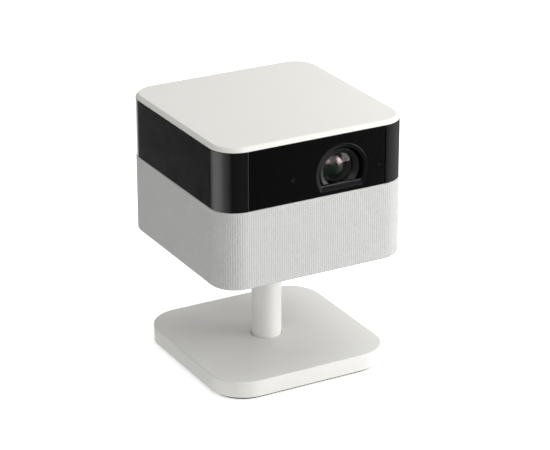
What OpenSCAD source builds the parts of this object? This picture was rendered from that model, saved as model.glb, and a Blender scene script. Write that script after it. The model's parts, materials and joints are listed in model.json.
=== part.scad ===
// Home projector: a square body with a cloth-covered lower half, a gloss band and
// a pale lid, carried on a round column that swivels on a weighted square base.
// +Z is up and the lens looks along -Y.  The origin is the centre of the underside.

/* [Body] */
// Width and depth of the square body
body_w = 184; // [180:1:190]
// Corner radius of the body in plan
body_r = 24; // [22:1:28]
// Height of the cloth-covered part
cloth_h = 72; // [72:1:76]
// Height of the gloss band
band_h = 54; // [54:1:58]
// Height of the lid above the band
lid_h = 4; // [4:0.5:6]
// Thickness of the speaker cloth
cloth_t = 1; // [0.8:0.1:1.2]

/* [Lens] */
// Sideways place of the lens axis
lens_x = 23.8; // [22:0.1:28]
// Height of the lens axis above the gloss band's lower edge
lens_up = 19.5; // [19:0.5:22]
// Radius of the round recess in the window
recess_r = 25.7; // [25:0.1:27]
// Depth below the lens axis at which the recess is cut flat
recess_low = 15.3; // [14:0.1:16]
// Depth of the recess
recess_d = 10; // [9:0.5:11]

/* [Stand] */
// Width and depth of the base plate
plate_w = 171; // [165:1:180]
// Corner radius of the base plate
plate_r = 33; // [28:1:38]
// Thickness of the base plate
plate_h = 15; // [15:1:18]
// Thickness of the rubber pad under the base
foot_h = 3; // [2:0.5:4]
// Clear height between the base plate and the body
gap_h = 93; // [93:1:110]
// Outer radius of the column
column_r = 13.75; // [13:0.25:14]

/* [Hidden] */
$fn = 72;
eps = 0.01;

// Heights
plate_top = foot_h + plate_h;
body_z = plate_top + gap_h;
cloth_top = body_z + cloth_h;
band_top = cloth_top + band_h;
lid_top = band_top + lid_h;
lens_z = cloth_top + lens_up;

// Outlines in plan, as half-widths
half = body_w / 2;
flat = half - body_r - 0.5;
grille_t = 2;
grille_half = half - cloth_t;
inner_half = grille_half - grille_t;
band_t = 4;
panel_t = 2.5;
panel_gap = 0.12;

// Base and swivel
plate_half = plate_w / 2;
plate_wall = 3;
plate_skin = 3.5;
plate_edge = 1.3;
pad_inset = 3.5;
cover_t = 1.5;
well_gap = 0.6;
hub_r = 20;
bush_r = 13;
journal_r = 9;
swivel_fit = 0.05;
seat_z = plate_top - plate_skin;
bush_h = 5.5;
washer_h = 0.7;
boss_at = 62;
boss_r = 4.5;

// Column and tilt hinge
tube_t = 2.75;
tube_r = column_r - tube_t;
hinge_up = 13.5;
hinge_z = body_z + hinge_up;
tube_top = body_z + 1.5;
knuckle_w = 27;
axle_r = 5;
axle_fit = 0.05;
tie_r = 4;

// Channel that the column swings in
channel_x = 15.5;
channel_up = 15.5;
liner_t = 2;
channel_lip = 1.2;
channel_top = hinge_z + channel_up;
liner_x = channel_x + liner_t;
ear_t = 3;
ear_x = liner_x;
ear_r = 13;

// Floor plates and posts
floor_t = 2.5;
chassis_t = 2;
floor_z = body_z + floor_t;
chassis_z = floor_z + chassis_t;
deck_t = 2;
deck_z = cloth_top - deck_t;
post_at = 70;
post_r = 4;
screw_r = 1.5;
turn_in = 5;
edge_r = 2.5;
intake_x = 60;
intake_y = [-80, -32];

// Optical engine
engine_x = [-56, 50];
engine_y = [-56, -4];
engine_h = 45;
engine_wall = 2.5;
beam_y = -30;
engine_floor = 2;
head_r = 19.5;
head_d = 11.8;
barrel_r = 17;
glass_r = 15;
bore_r = glass_r + 0.02;
cell_fit = 0.08;
barrel_front = -half + 4.2;
barrel_back = -44;
mirror_x = [-30, -8];
prism_s = 24;
led_r = 8.5;

// Focus drive
gear_m = 1;
ring_teeth = 48;
pinion_teeth = 12;
ring_y = -69;
ring_w = 8;
ring_fit = 0.06;
pinion_w = 6;
gear_gap = gear_m * (ring_teeth + pinion_teeth) / 2;

// Cooling
fan_s = 50;
fan_t = 15;
fan_x = -35;
fan_y = half - 21;
fan_z = cloth_top + 26.5;
blower_x = 27;
blower_y = 55;
pipe_r = 3;
pipe_x = -61.5;
pipe_up = [14, 38];
sink_y = [28, 70];

// Main board and its standoffs
board_z = deck_z - 6.4;
board_x = 66;
board_y = [-16, 59];

// Ports and button
bay_x = [0, 62];
bay_z = [cloth_top + 31, cloth_top + 49];
bay_y = half - 6.5;
io_z = cloth_top + 34.5;
hdmi_x = 13;
usb_x = 34;
dc_x = 53;
button_x = 57;
button_z = cloth_top + 15.5;
button_r = 5;
button_travel = 1;
sensor_x = [-24, 62.5];
sensor_z = lens_z + 1.5;

// Loudspeakers
driver_y = 20;
driver_z = body_z + 34.5;
driver_r = 24.4;
box_x = [26, 84];
box_y = [-22, 64];
box_z = [body_z + 9, body_z + 60];

// ---------------------------------------------------------------- shared shapes

// Square with rounded corners, by half-width
module round_square(h, r) {
    square([2 * h, 2 * (h - r)], center = true);
    square([2 * (h - r), 2 * h], center = true);
    for (x = [-1, 1], y = [-1, 1])
        translate([x * (h - r), y * (h - r)])
            circle(r = r);
}

// Upright prism of that outline between two heights
module slab(h, r, z0, z1) {
    translate([0, 0, z0])
        linear_extrude(z1 - z0)
            round_square(h, r);
}

// Quarter of a disc, in the corner where both directions are positive
module quarter_disc(r) {
    intersection() {
        circle(r = r);
        square(r);
    }
}

// Sweeps a profile round the outline: x is the distance from the corner centres
module swept(h, r) {
    c = h - r;
    for (a = [0:90:270])
        rotate(a) {
            translate([c, c, 0])
                rotate_extrude(angle = 90)
                    children();
            translate([c, c, 0])
                rotate([90, 0, 0])
                    linear_extrude(2 * c)
                        children();
        }
}

// Slab whose upper edge is rounded by radius e
module soft_slab(h, r, z0, z1, e) {
    c = h - r;
    translate([-c, -c, z0])
        cube([2 * c, 2 * c, z1 - z0]);
    swept(h, r) {
        translate([0, z0])
            square([r, z1 - e - z0]);
        translate([0, z0])
            square([r - e, z1 - z0]);
        translate([r - e, z1 - e])
            quarter_disc(e);
    }
}

// Box between two corners
module block(x, y, z) {
    translate([x[0], y[0], z[0]])
        cube([x[1] - x[0], y[1] - y[0], z[1] - z[0]]);
}

// Upright cylinder between two heights
module rod_z(r, z0, z1) {
    translate([0, 0, z0])
        cylinder(r = r, h = z1 - z0);
}

// Cylinder along Y between two places, or a cone where r2 is given
module rod_y(r, y0, y1, r2 = -1) {
    translate([0, y0, 0])
        rotate([-90, 0, 0])
            cylinder(r1 = r, r2 = r2 < 0 ? r : r2, h = y1 - y0);
}

// Cylinder along X between two places
module rod_x(r, x0, x1) {
    translate([x0, 0, 0])
        rotate([0, 90, 0])
            cylinder(r = r, h = x1 - x0);
}

module at_lens() {
    translate([lens_x, 0, lens_z])
        children();
}

module at_hinge() {
    translate([0, 0, hinge_z])
        children();
}

module at_corners(d) {
    for (x = [-d, d], y = [-d, d])
        translate([x, y, 0])
            children();
}

module on_both_sides() {
    for (s = [0, 1])
        mirror([s, 0, 0])
            children();
}

// Spur gear outline with straight-flanked teeth
module gear_outline(teeth) {
    root = gear_m * (teeth / 2 - 1.2);
    pitch = gear_m * teeth / 2;
    tip = gear_m * (teeth / 2 + 0.8);
    half_root = gear_m * 1.05;
    half_pitch = gear_m * 0.66;
    half_tip = gear_m * 0.34;
    circle(r = root);
    for (i = [0:teeth - 1])
        rotate(i * 360 / teeth)
            polygon([
                [root - 0.5, -half_root], [pitch, -half_pitch], [tip, -half_tip],
                [tip, half_tip], [pitch, half_pitch], [root - 0.5, half_root]
            ]);
}

// ---------------------------------------------------------------- base

module foot_pad() {
    color("dimgray")
        slab(plate_half - pad_inset, plate_r - pad_inset, 0, foot_h);
}

module base_cover() {
    inset = plate_wall + 0.1;
    color("silver")
        difference() {
            slab(plate_half - inset, plate_r - inset, foot_h, foot_h + cover_t);
            at_corners(boss_at)
                translate([0, 0, foot_h])
                    cylinder(r1 = 3.1, r2 = 1.6, h = cover_t);
        }
}

module base_weight() {
    inset = plate_wall + 0.3;
    color("slategray")
        difference() {
            slab(plate_half - inset, plate_r - inset, foot_h + cover_t, seat_z);
            rod_z(hub_r + 0.5, 0, plate_top);
            at_corners(boss_at)
                rod_z(boss_r + 0.4, 0, plate_top);
        }
}

module base_plate() {
    color("whitesmoke")
        difference() {
            union() {
                difference() {
                    soft_slab(plate_half, plate_r, foot_h, plate_top, plate_edge);
                    slab(plate_half - plate_wall, plate_r - plate_wall, 0, seat_z);
                }
                rod_z(hub_r, seat_z - bush_h, seat_z);
                at_corners(boss_at)
                    rod_z(boss_r, foot_h + cover_t, seat_z);
            }
            rod_z(column_r + well_gap, seat_z, plate_top + 1);
            rod_z(bush_r, 0, plate_top);
            at_corners(boss_at)
                rod_z(screw_r, 0, seat_z - 2);
        }
}

module base_screws() {
    color("gray")
        at_corners(boss_at) {
            translate([0, 0, foot_h])
                cylinder(r1 = 3, r2 = screw_r, h = cover_t);
            rod_z(screw_r - 0.05, foot_h + cover_t, seat_z - 3);
        }
}

module swivel_bush() {
    color("ivory")
        difference() {
            rod_z(bush_r, seat_z - bush_h, seat_z);
            rod_z(journal_r + swivel_fit, 0, plate_top);
        }
}

// ---------------------------------------------------------------- column

nut_z = foot_h + cover_t + 0.3;
spring_z = seat_z - bush_h - washer_h;
shoulder_z = seat_z + 1.5;

module column_foot() {
    color("silver")
        difference() {
            union() {
                rod_z(journal_r, nut_z, seat_z + 0.1);
                rod_z(column_r, seat_z + 0.1, shoulder_z);
                rod_z(tube_r - 0.02, shoulder_z, shoulder_z + 18);
            }
            rod_z(tie_r + 0.2, 0, shoulder_z + 19);
            rod_z(6.6, 0, nut_z + 4.5);
        }
}

module column_tube() {
    color("whitesmoke")
        difference() {
            rod_z(column_r, shoulder_z, tube_top);
            rod_z(tube_r, 0, tube_top + 1);
        }
}

module tie_bolt() {
    color("gray")
        difference() {
            union() {
                rod_z(6.4, nut_z + 0.3, nut_z + 4.5);
                rod_z(tie_r, nut_z + 4.5, tube_top - 2);
            }
            translate([0, 0, nut_z])
                cylinder(r = 3.4, h = 3, $fn = 6);
        }
}

module swivel_nut() {
    color("silver")
        difference() {
            rod_z(12.6, nut_z, spring_z);
            rod_z(journal_r, 0, plate_top);
            for (a = [0:90:270])
                rotate(a)
                    translate([11, -1.5, nut_z - 1])
                        cube([4, 3, 3]);
        }
}

module wave_washer() {
    color("lightsteelblue")
        difference() {
            rod_z(12.4, spring_z, spring_z + washer_h - 0.05);
            rod_z(journal_r + 0.1, 0, plate_top);
        }
}

module hinge_head() {
    color("silver")
        difference() {
            union() {
                intersection() {
                    union() {
                        at_hinge()
                            rod_x(column_r, -knuckle_w / 2, knuckle_w / 2);
                        rod_z(column_r, tube_top, hinge_z);
                    }
                    translate([-knuckle_w / 2, -column_r, tube_top])
                        cube([knuckle_w, 2 * column_r, 40]);
                }
                rod_z(tube_r - 0.02, tube_top - 20, tube_top);
            }
            at_hinge()
                rod_x(axle_r + axle_fit, -20, 20);
            rod_z(tie_r, tube_top - 21, tube_top - 1.5);
        }
}

// ---------------------------------------------------------------- tilt hinge in the body

nut_t = 4;

module tilt_axle() {
    reach = ear_x + ear_t + nut_t + 0.5;
    color("lightgray")
        at_hinge()
            rod_x(axle_r, -reach, reach);
}

module hinge_brackets() {
    foot_w = 14;
    color("lightsteelblue")
        on_both_sides()
            difference() {
                union() {
                    at_hinge()
                        rod_x(ear_r, ear_x, ear_x + ear_t);
                    block([ear_x, ear_x + ear_t], [-ear_r, ear_r], [chassis_z, hinge_z]);
                    block([ear_x, ear_x + foot_w], [-ear_r, ear_r], [chassis_z, chassis_z + 2]);
                }
                at_hinge()
                    rod_x(axle_r, 0, 40);
                slab(half, body_r, body_z - 5, chassis_z);
            }
}

module friction_washers() {
    color("darkgoldenrod")
        on_both_sides()
            at_hinge()
                difference() {
                    rod_x(9, knuckle_w / 2 + 0.1, ear_x);
                    rod_x(axle_r, 0, 40);
                }
}

module axle_nuts() {
    color("gray")
        on_both_sides()
            at_hinge()
                difference() {
                    translate([ear_x + ear_t, 0, 0])
                        rotate([0, 90, 0])
                            cylinder(r = 7, h = nut_t, $fn = 6);
                    rod_x(axle_r, 0, 40);
                }
}

// Rim of the channel in the rear wall
module channel_rim(x, y) {
    block([-x, x], y, [body_z, channel_top + liner_t + channel_lip]);
}

module stand_channel() {
    color("dimgray")
        difference() {
            union() {
                block([-liner_x, liner_x], [-liner_x, half - 0.6], [body_z, channel_top + liner_t]);
                channel_rim(liner_x + channel_lip, [half - 2, half - 0.1]);
            }
            block([-channel_x, channel_x], [-channel_x, half + 1], [body_z - 1, channel_top]);
            at_hinge()
                rod_x(9.2, -30, 30);
        }
}

// ---------------------------------------------------------------- lower shell

module channel_slot(grow, z0, z1) {
    block([-liner_x - grow, liner_x + grow], [-liner_x - grow, half + 1], [z0, z1]);
}

module bottom_cover() {
    c = half - body_r;
    color("dimgray")
        difference() {
            union() {
                translate([-c, -c, body_z])
                    cube([2 * c, 2 * c, floor_t]);
                swept(half, body_r) {
                    translate([0, body_z])
                        square([body_r - turn_in, floor_t]);
                    translate([0, body_z + cloth_t])
                        square([body_r - edge_r, floor_t - cloth_t]);
                    translate([body_r - edge_r, body_z + edge_r])
                        mirror([0, 1])
                            quarter_disc(edge_r - cloth_t);
                }
            }
            channel_slot(0, body_z - 1, floor_z + 1);
            channel_rim(liner_x + channel_lip, [half - 2, half + 1]);
            for (x = [-intake_x:6:intake_x])
                block([x - 1.5, x + 1.5], intake_y, [body_z - 1, floor_z + 1]);
            at_corners(post_at) {
                rod_z(1.7, body_z - 1, floor_z + 1);
                rod_z(3.2, body_z - 1, body_z + 1.8);
            }
        }
}

module dust_filter() {
    rim = 3;
    color("darkslategray") {
        difference() {
            block([-intake_x - 3, intake_x + 3], [intake_y[0] - 3, intake_y[1] + 3], [floor_z, floor_z + 3]);
            block([-intake_x - 3 + rim, intake_x + 3 - rim],
                  [intake_y[0] - 3 + rim, intake_y[1] + 3 - rim], [floor_z - 1, floor_z + 4]);
        }
        block([-intake_x - 3 + rim, intake_x + 3 - rim],
              [intake_y[0] - 3 + rim, intake_y[1] + 3 - rim], [floor_z + 1, floor_z + 2]);
        for (x = [-40:20:40])
            block([x - 0.8, x + 0.8], [intake_y[0] - 3 + rim, intake_y[1] + 3 - rim],
                  [floor_z + 1.5, floor_z + 3]);
    }
}

module chassis_plate() {
    color("lightsteelblue")
        difference() {
            slab(inner_half - 0.2, body_r - 3.2, floor_z, chassis_z);
            channel_slot(0, body_z, chassis_z + 1);
            block([-intake_x - 3.2, intake_x + 3.2], [intake_y[0] - 3.2, intake_y[1] + 3.2],
                  [body_z, chassis_z + 1]);
            at_corners(post_at)
                rod_z(1.7, body_z, chassis_z + 1);
        }
}

module frame_posts() {
    color("lightgray")
        at_corners(post_at)
            difference() {
                rod_z(post_r, chassis_z, deck_z);
                rod_z(screw_r, chassis_z - 1, chassis_z + 12);
            }
}

module case_screws() {
    color("gray")
        at_corners(post_at)
            difference() {
                union() {
                    rod_z(2.9, body_z + 0.2, body_z + 1.8);
                    rod_z(screw_r - 0.05, body_z + 1.8, chassis_z + 11);
                }
                translate([0, 0, body_z])
                    cylinder(r = 1.2, h = 1.1, $fn = 6);
            }
}

module speaker_grille() {
    slot_z = [body_z + 12, cloth_top - 12];
    color("gray")
        difference() {
            slab(grille_half, body_r - cloth_t, floor_z, deck_z);
            slab(inner_half, body_r - cloth_t - grille_t, body_z, cloth_top);
            for (i = [-9:9]) {
                block([-half, half], [i * 6 - 1.6, i * 6 + 1.6], slot_z);
                block([i * 6 - 1.6, i * 6 + 1.6], [-half, 0], slot_z);
            }
            block([-liner_x, liner_x], [0, half], [body_z, channel_top + liner_t]);
            channel_rim(liner_x + channel_lip, [half - 2, half]);
        }
}

module speaker_cloth() {
    color("lightgray")
        difference() {
            swept(half, body_r) {
                translate([body_r - cloth_t, body_z + edge_r])
                    square([cloth_t, cloth_h - edge_r]);
                translate([body_r - turn_in, body_z])
                    square([turn_in - edge_r, cloth_t]);
                translate([body_r - edge_r, body_z + edge_r])
                    mirror([0, 1])
                        difference() {
                            quarter_disc(edge_r);
                            circle(r = edge_r - cloth_t);
                        }
            }
            channel_slot(channel_lip, body_z - 1, channel_top + liner_t + channel_lip);
        }
}

module deck_frame() {
    color("darkgray") {
        difference() {
            slab(grille_half, body_r - cloth_t, deck_z, cloth_top);
            block([-58, 58], [-84, -60], [deck_z - 1, cloth_top + 1]);
            block([-50, 58], [4, 26], [deck_z - 1, cloth_top + 1]);
            block([8, 36], [-3, 1], [deck_z - 1, cloth_top + 1]);
            at_corners(post_at)
                rod_z(1.7, deck_z - 1, cloth_top + 1);
        }
        for (x = [-board_x, board_x], y = board_y)
            translate([x, y, 0])
                rod_z(2.5, board_z, deck_z);
    }
}

// ---------------------------------------------------------------- upper shell

// Round prism about the lens axis, cut flat at a distance low below it
module recess(r, low, y0, y1) {
    translate([lens_x, y1, lens_z])
        rotate([90, 0, 0])
            linear_extrude(y1 - y0)
                intersection() {
                    circle(r = r);
                    translate([-r, -low])
                        square([2 * r, low + r]);
                }
}

module side_band() {
    wall_y = half - panel_t;
    color("dimgray")
        difference() {
            slab(half, body_r, cloth_top, band_top);
            slab(half - band_t, body_r - band_t, cloth_top - 1, band_top + 1);
            block([-flat, flat], [-half - 1, -wall_y], [cloth_top - 1, band_top + 1]);
            block([-flat, flat], [wall_y, half + 1], [cloth_top - 1, band_top + 1]);
            recess(recess_r, recess_low, -half, -half + band_t + 1);
            for (x = sensor_x)
                translate([x, 0, sensor_z])
                    rod_y(4.2, -half, -half + 6);
            block([-flat + 3, flat - 1.5], [half - 6, half + 1], [cloth_top + 3, band_top - 3]);
        }
}

module front_window() {
    color([0.06, 0.06, 0.07])
        difference() {
            block([-flat + panel_gap, flat - panel_gap], [-half, -half + panel_t],
                  [cloth_top + panel_gap, band_top - panel_gap]);
            recess(recess_r, recess_low, -half - 1, -half + panel_t + 1);
            for (x = sensor_x)
                translate([x, 0, sensor_z])
                    rod_y(1.8, -half - 1, -half + 5);
        }
}

module lens_surround() {
    lip_r = recess_r - 0.1;
    lip_low = recess_low - 0.1;
    cup_r = recess_r - 3.5;
    bevel_d = 0.6;
    shelf_d = 4.1;
    shelf_low = 10.6;
    ramp_d = 0.8;
    back = -half + recess_d;
    color("black")
        difference() {
            union() {
                recess(lip_r, lip_low, -half, -half + shelf_d);
                recess(lip_r, lens_up - panel_gap, -half + shelf_d, back + 1.5);
            }
            intersection() {
                at_lens() {
                    rod_y(cup_r, -half - 1, back);
                    rod_y(lip_r, -half, -half + bevel_d, cup_r);
                }
                translate([-half, -half, lens_z])
                    rotate([90, 0, 90])
                        linear_extrude(body_w)
                            polygon([
                                [-1, -lip_low], [0, -lip_low], [ramp_d, -shelf_low],
                                [shelf_d, -shelf_low], [shelf_d, -recess_r],
                                [recess_d, -recess_r], [recess_d, recess_r], [-1, recess_r]
                            ]);
            }
            at_lens()
                rod_y(head_r + 0.1, back - 1, back + 2);
        }
}

module rear_panel() {
    bay_wall = 1.5;
    face = half - panel_t;
    color("black")
        difference() {
            union() {
                block([-flat + panel_gap, flat - panel_gap], [face, half],
                      [cloth_top + panel_gap, band_top - panel_gap]);
                block([bay_x[0] - bay_wall, bay_x[1] + bay_wall], [bay_y - bay_wall, face],
                      [bay_z[0] - bay_wall, bay_z[1] + bay_wall]);
            }
            block(bay_x, [bay_y, half + 1], bay_z);
            for (i = [0:8])
                block([-61, -8], [face - 1, half + 1], [cloth_top + 5 + i * 4.8, cloth_top + 7.4 + i * 4.8]);
            for (i = [0:4])
                block([0, 46], [face - 1, half + 1], [cloth_top + 5 + i * 4.8, cloth_top + 7.4 + i * 4.8]);
            translate([button_x, 0, button_z])
                rod_y(button_r + 0.3, face - 1, half + 1);
            block([hdmi_x - 7.6, hdmi_x + 7.6], [bay_y - 2, bay_y + 1], [io_z + 1.5, io_z + 7.4]);
            block([usb_x - 6.7, usb_x + 6.7], [bay_y - 2, bay_y + 1], [io_z + 1.5, io_z + 7.5]);
            translate([dc_x, 0, io_z + 7])
                rod_y(4.3, bay_y - 2, bay_y + 1);
        }
}

module top_cover() {
    shell_t = 2.4;
    lip_t = 1.5;
    lip_half = half - band_t - 0.2;
    lip_r = body_r - band_t - 0.2;
    color("white")
        difference() {
            union() {
                soft_slab(half, body_r, band_top, lid_top, lid_h - 1);
                slab(lip_half, lip_r, band_top - 2.5, band_top);
            }
            slab(lip_half - lip_t, lip_r - lip_t, band_top - 3, lid_top - shell_t);
        }
}

// ---------------------------------------------------------------- optical engine

engine_z = [cloth_top, cloth_top + engine_h];

module engine_housing() {
    w = engine_wall;
    color("darkgray")
        difference() {
            block(engine_x, engine_y, engine_z);
            block([engine_x[0] + w, engine_x[1] - w], [engine_y[0] + w, engine_y[1] - w],
                  [engine_z[0] + engine_floor, engine_z[1] + 1]);
            at_lens()
                rod_y(barrel_r + 0.1, engine_y[0] - 1, engine_y[0] + 4);
            block([lens_x - 9, lens_x + 9], [engine_y[1] - 4, engine_y[1] + 1], [lens_z - 8, lens_z + 8]);
            translate([0, beam_y, lens_z])
                rod_x(led_r + 0.2, engine_x[0] - 1, engine_x[0] + 4);
            translate([mirror_x[0], 0, lens_z])
                rod_y(led_r + 0.2, engine_y[0] - 1, engine_y[0] + 4);
            translate([mirror_x[1], 0, lens_z])
                rod_y(led_r + 0.2, engine_y[1] - 4, engine_y[1] + 1);
        }
}

module engine_lid() {
    t = 1.5;
    color("gray") {
        block(engine_x, engine_y, [engine_z[1], engine_z[1] + t]);
        for (x = [engine_x[0] + 20:20:engine_x[1] - 10])
            block([x - 0.75, x + 0.75], [engine_y[0] + 4, engine_y[1] - 4],
                  [engine_z[1] + t, engine_z[1] + t + 1]);
    }
}

module lens_barrel() {
    color([0.12, 0.12, 0.13])
        at_lens()
            difference() {
                union() {
                    rod_y(head_r, barrel_front, barrel_front + head_d);
                    rod_y(barrel_r, barrel_front, barrel_back);
                    block([-22, 22], [engine_y[0] - 2.5, engine_y[0]], [-19, 22]);
                }
                rod_y(head_r - 1, barrel_front - eps, barrel_front + 2.3, bore_r);
                rod_y(bore_r, barrel_front + 1, barrel_back + 1);
                block([-1.3, 1.3], [ring_y - 2.7, ring_y + 2.7], [0, barrel_r + 1]);
            }
}

// Lens body of radius r with a domed front of radius dome
module element(r, dome, y0, y1) {
    rise = sqrt(dome * dome - r * r);
    translate([0, y1, 0])
        rotate([90, 0, 0])
            rotate_extrude() {
                square([r, y1 - y0]);
                intersection() {
                    translate([0, y1 - y0 - rise])
                        circle(r = dome, $fn = 180);
                    square([r, y1 - y0 + dome]);
                }
            }
}

module front_lens() {
    color([0.35, 0.25, 0.45])
        at_lens()
            element(glass_r, 40, barrel_front + 2.5, barrel_front + 5.5);
}

module focus_ring() {
    color("goldenrod")
        at_lens()
            difference() {
                union() {
                    translate([0, ring_y + pinion_w / 2, 0])
                        rotate([90, 0, 0])
                            linear_extrude(pinion_w)
                                gear_outline(ring_teeth);
                    rod_y(21, ring_y - ring_w / 2, ring_y + ring_w / 2);
                }
                rod_y(barrel_r + ring_fit, ring_y - ring_w, ring_y + ring_w);
                rod_y(19, ring_y - 2.7, ring_y + 2.7);
            }
}

module focus_pinion() {
    spindle_r = 1;
    color("ivory")
        translate([lens_x - gear_gap, 0, lens_z]) {
            translate([0, ring_y + pinion_w / 2, 0])
                rotate([90, 0, 0])
                    linear_extrude(pinion_w)
                        rotate(180 / pinion_teeth)
                            gear_outline(pinion_teeth);
            rod_y(spindle_r, ring_y, engine_y[0] - 6);
        }
}

module focus_motor() {
    color("silver")
        translate([lens_x - gear_gap, 0, lens_z])
            difference() {
                union() {
                    rod_y(8, engine_y[0] - 8, engine_y[0]);
                    translate([0, engine_y[0] - 0.6, 0])
                        cube([7, 1.2, 26], center = true);
                }
                rod_y(1.06, engine_y[0] - 9, engine_y[0] - 3);
            }
}

module focus_cell() {
    color("dimgray")
        at_lens()
            difference() {
                union() {
                    rod_y(bore_r - cell_fit, ring_y - 4, ring_y + 9);
                    translate([0, ring_y, 0])
                        rod_z(1.2, 13, 18.6);
                }
                rod_y(12, ring_y - 6, ring_y + 10);
            }
}

module rear_lens() {
    color([0.6, 0.75, 0.8])
        at_lens()
            element(12, 30, ring_y + 1, ring_y + 6);
}

module prism() {
    s = prism_s;
    color([0.75, 0.85, 0.9])
        translate([lens_x, beam_y, lens_z])
            difference() {
                cube(s, center = true);
                rotate(45)
                    cube([2 * s, 0.3, 2 * s], center = true);
            }
}

module imager_board() {
    rear = engine_y[1];
    color("seagreen")
        translate([lens_x, 0, lens_z]) {
            block([-18, 20], [rear, rear + 1.6], [-17, 18]);
            block([-8, 8], [rear - 5, rear], [-6.5, 6.5]);
            block([-9, 9], [rear + 1.6, rear + 4], [-14, -10]);
            block([-7, 7], [rear + 1.6, rear + 8], [-6, 6]);
        }
}

// Light source with its lens nose pointing along +Z and a copper base below
module led_module() {
    cylinder(r = led_r, h = 5);
    translate([0, 0, -2])
        block([-13, 13], [-13, 13], [0, 2]);
    translate([0, 0, -10])
        block([-12, 12], [-12, 12], [0, 8]);
}

module led_modules() {
    color("darkorange")
        difference() {
            translate([0, 0, lens_z]) {
                translate([engine_x[0], beam_y, 0])
                    rotate([0, 90, 0])
                        led_module();
                translate([mirror_x[0], engine_y[0], 0])
                    rotate([-90, 0, 0])
                        led_module();
                translate([mirror_x[1], engine_y[1], 0])
                    rotate([90, 0, 0])
                        led_module();
            }
            for (z = pipe_up)
                translate([pipe_x, 0, cloth_top + z])
                    rod_y(pipe_r, -half, half);
        }
}

module beam_optics() {
    color([0.8, 0.85, 0.7])
        translate([0, beam_y, lens_z]) {
            for (x = mirror_x)
                translate([x, 0, 0])
                    rotate(x == mirror_x[0] ? 45 : -45)
                        cube([1, 24, 24], center = true);
            rod_x(11, 3.5, 8);
            for (x = [3.5, 8])
                block([x, x + 1.5], [-13, 13], [-engine_h / 2 + 6, -11]);
            rod_x(9, -46, -42);
        }
}

// ---------------------------------------------------------------- cooling

module heat_sink() {
    base = [pipe_x - 4, pipe_x + 4];
    color("silver")
        difference() {
            union() {
                block(base, sink_y, [cloth_top + 3, cloth_top + 51]);
                for (z = [5:4:49])
                    block([base[1], -10], sink_y, [cloth_top + z, cloth_top + z + 1]);
            }
            for (z = pipe_up)
                translate([pipe_x, 0, cloth_top + z])
                    rod_y(pipe_r, -half, half);
        }
}

module heat_pipes() {
    color("chocolate")
        for (z = pipe_up)
            translate([pipe_x, 0, cloth_top + z])
                rod_y(pipe_r, beam_y - 14, sink_y[1] - 3);
}

module fan_frame() {
    color("dimgray")
        translate([fan_x, fan_y, fan_z])
            difference() {
                union() {
                    difference() {
                        block([-fan_s / 2, fan_s / 2], [0, fan_t], [-fan_s / 2, fan_s / 2]);
                        rod_y(fan_s / 2 - 1.5, -1, fan_t + 1);
                    }
                    rod_y(10, fan_t - 2, fan_t - 0.1);
                    for (a = [30, 150, 270])
                        rotate([0, a, 0])
                            block([-1.2, 1.2], [fan_t - 2, fan_t - 0.3], [9, fan_s / 2 - 0.8]);
                }
                rod_y(1.56, fan_t - 3, fan_t - 0.6);
                for (x = [-20.5, 20.5], z = [-20.5, 20.5])
                    translate([x, 0, z])
                        rod_y(1.8, -1, fan_t + 1);
            }
}

module fan_rotor() {
    tip = fan_s / 2 - 2.2;
    color("darkslategray")
        translate([fan_x, fan_y, fan_z]) {
            rod_y(10, 1.5, fan_t - 2.5);
            rod_y(1.5, fan_t - 2.5, fan_t - 0.8);
            intersection() {
                for (a = [0:360 / 7:359])
                    rotate([0, a, 0])
                        rotate([0, 0, 38])
                            block([-8, 8], [fan_t / 2 - 1, fan_t / 2 + 0.2], [8, fan_s / 2]);
                rod_y(tip, 1.5, fan_t - 2.5);
            }
        }
}

blower_r = 21;
blower_z = [cloth_top + 1.5, cloth_top + 16.5];

module blower_housing() {
    s = fan_s / 2;
    color("dimgray")
        translate([blower_x, blower_y, 0])
            difference() {
                block([-s, s], [-s, s], blower_z);
                rod_z(blower_r + 1, blower_z[0] + 2, blower_z[1] - 2);
                rod_z(14, blower_z[0] + 2, blower_z[1] + 1);
                block([0, blower_r], [0, s + 1], [blower_z[0] + 2, blower_z[1] - 2]);
                rod_z(1.56, blower_z[0] + 0.5, blower_z[1]);
            }
}

module blower_rotor() {
    low = blower_z[0] + 2.5;
    color("darkslategray")
        translate([blower_x, blower_y, 0]) {
            rod_z(8, low, blower_z[1] - 1);
            rod_z(blower_r - 1, low, low + 1);
            rod_z(1.5, blower_z[0] + 0.8, low);
            for (a = [0:15:345])
                rotate(a)
                    block([14.5, blower_r - 1.2], [-0.4, 0.4], [low, blower_z[1] - 2.6]);
        }
}

// ---------------------------------------------------------------- electronics

module main_board() {
    top = board_z;
    margin = 5;
    color("darkgreen")
        difference() {
            union() {
                block([-board_x - margin, board_x + margin],
                      [board_y[0] - margin, board_y[1] + margin], [top - 1.6, top]);
                block([-20, 14], [20, 54], [top, top + 4]);
                for (y = [14, 32, 50])
                    block([20, 34], [y, y + 10], [top, top + 1.2]);
                for (x = [-60:10:-30])
                    translate([x, 50, 0])
                        rod_z(3.2, top, top + 5);
                block([12, 32], [-6, -1], [top, top + 3]);
                block([-62, -48], [-4, 26], [top, top + 5]);
                block([40, 56], [54, 60], [top, top + 5]);
            }
            for (x = [-board_x, board_x], y = board_y)
                translate([x, y, 0])
                    rod_z(1.2, top - 3, top + 1);
        }
}

module io_board() {
    back = bay_y - 1.6;
    color("darkgreen")
        difference() {
            union() {
                block([bay_x[0] + 1, bay_x[1] - 1], [back - 26, back], [io_z, io_z + 1.6]);
                block([6, 26], [back - 25, back - 20], [io_z + 1.6, io_z + 5]);
                block([button_x - 4, button_x + 4], [back - 6, back - 3.5], [button_z - 4, io_z]);
            }
            translate([4, back - 22, 0])
                rod_z(1.5, io_z - 1, io_z + 2);
        }
}

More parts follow.
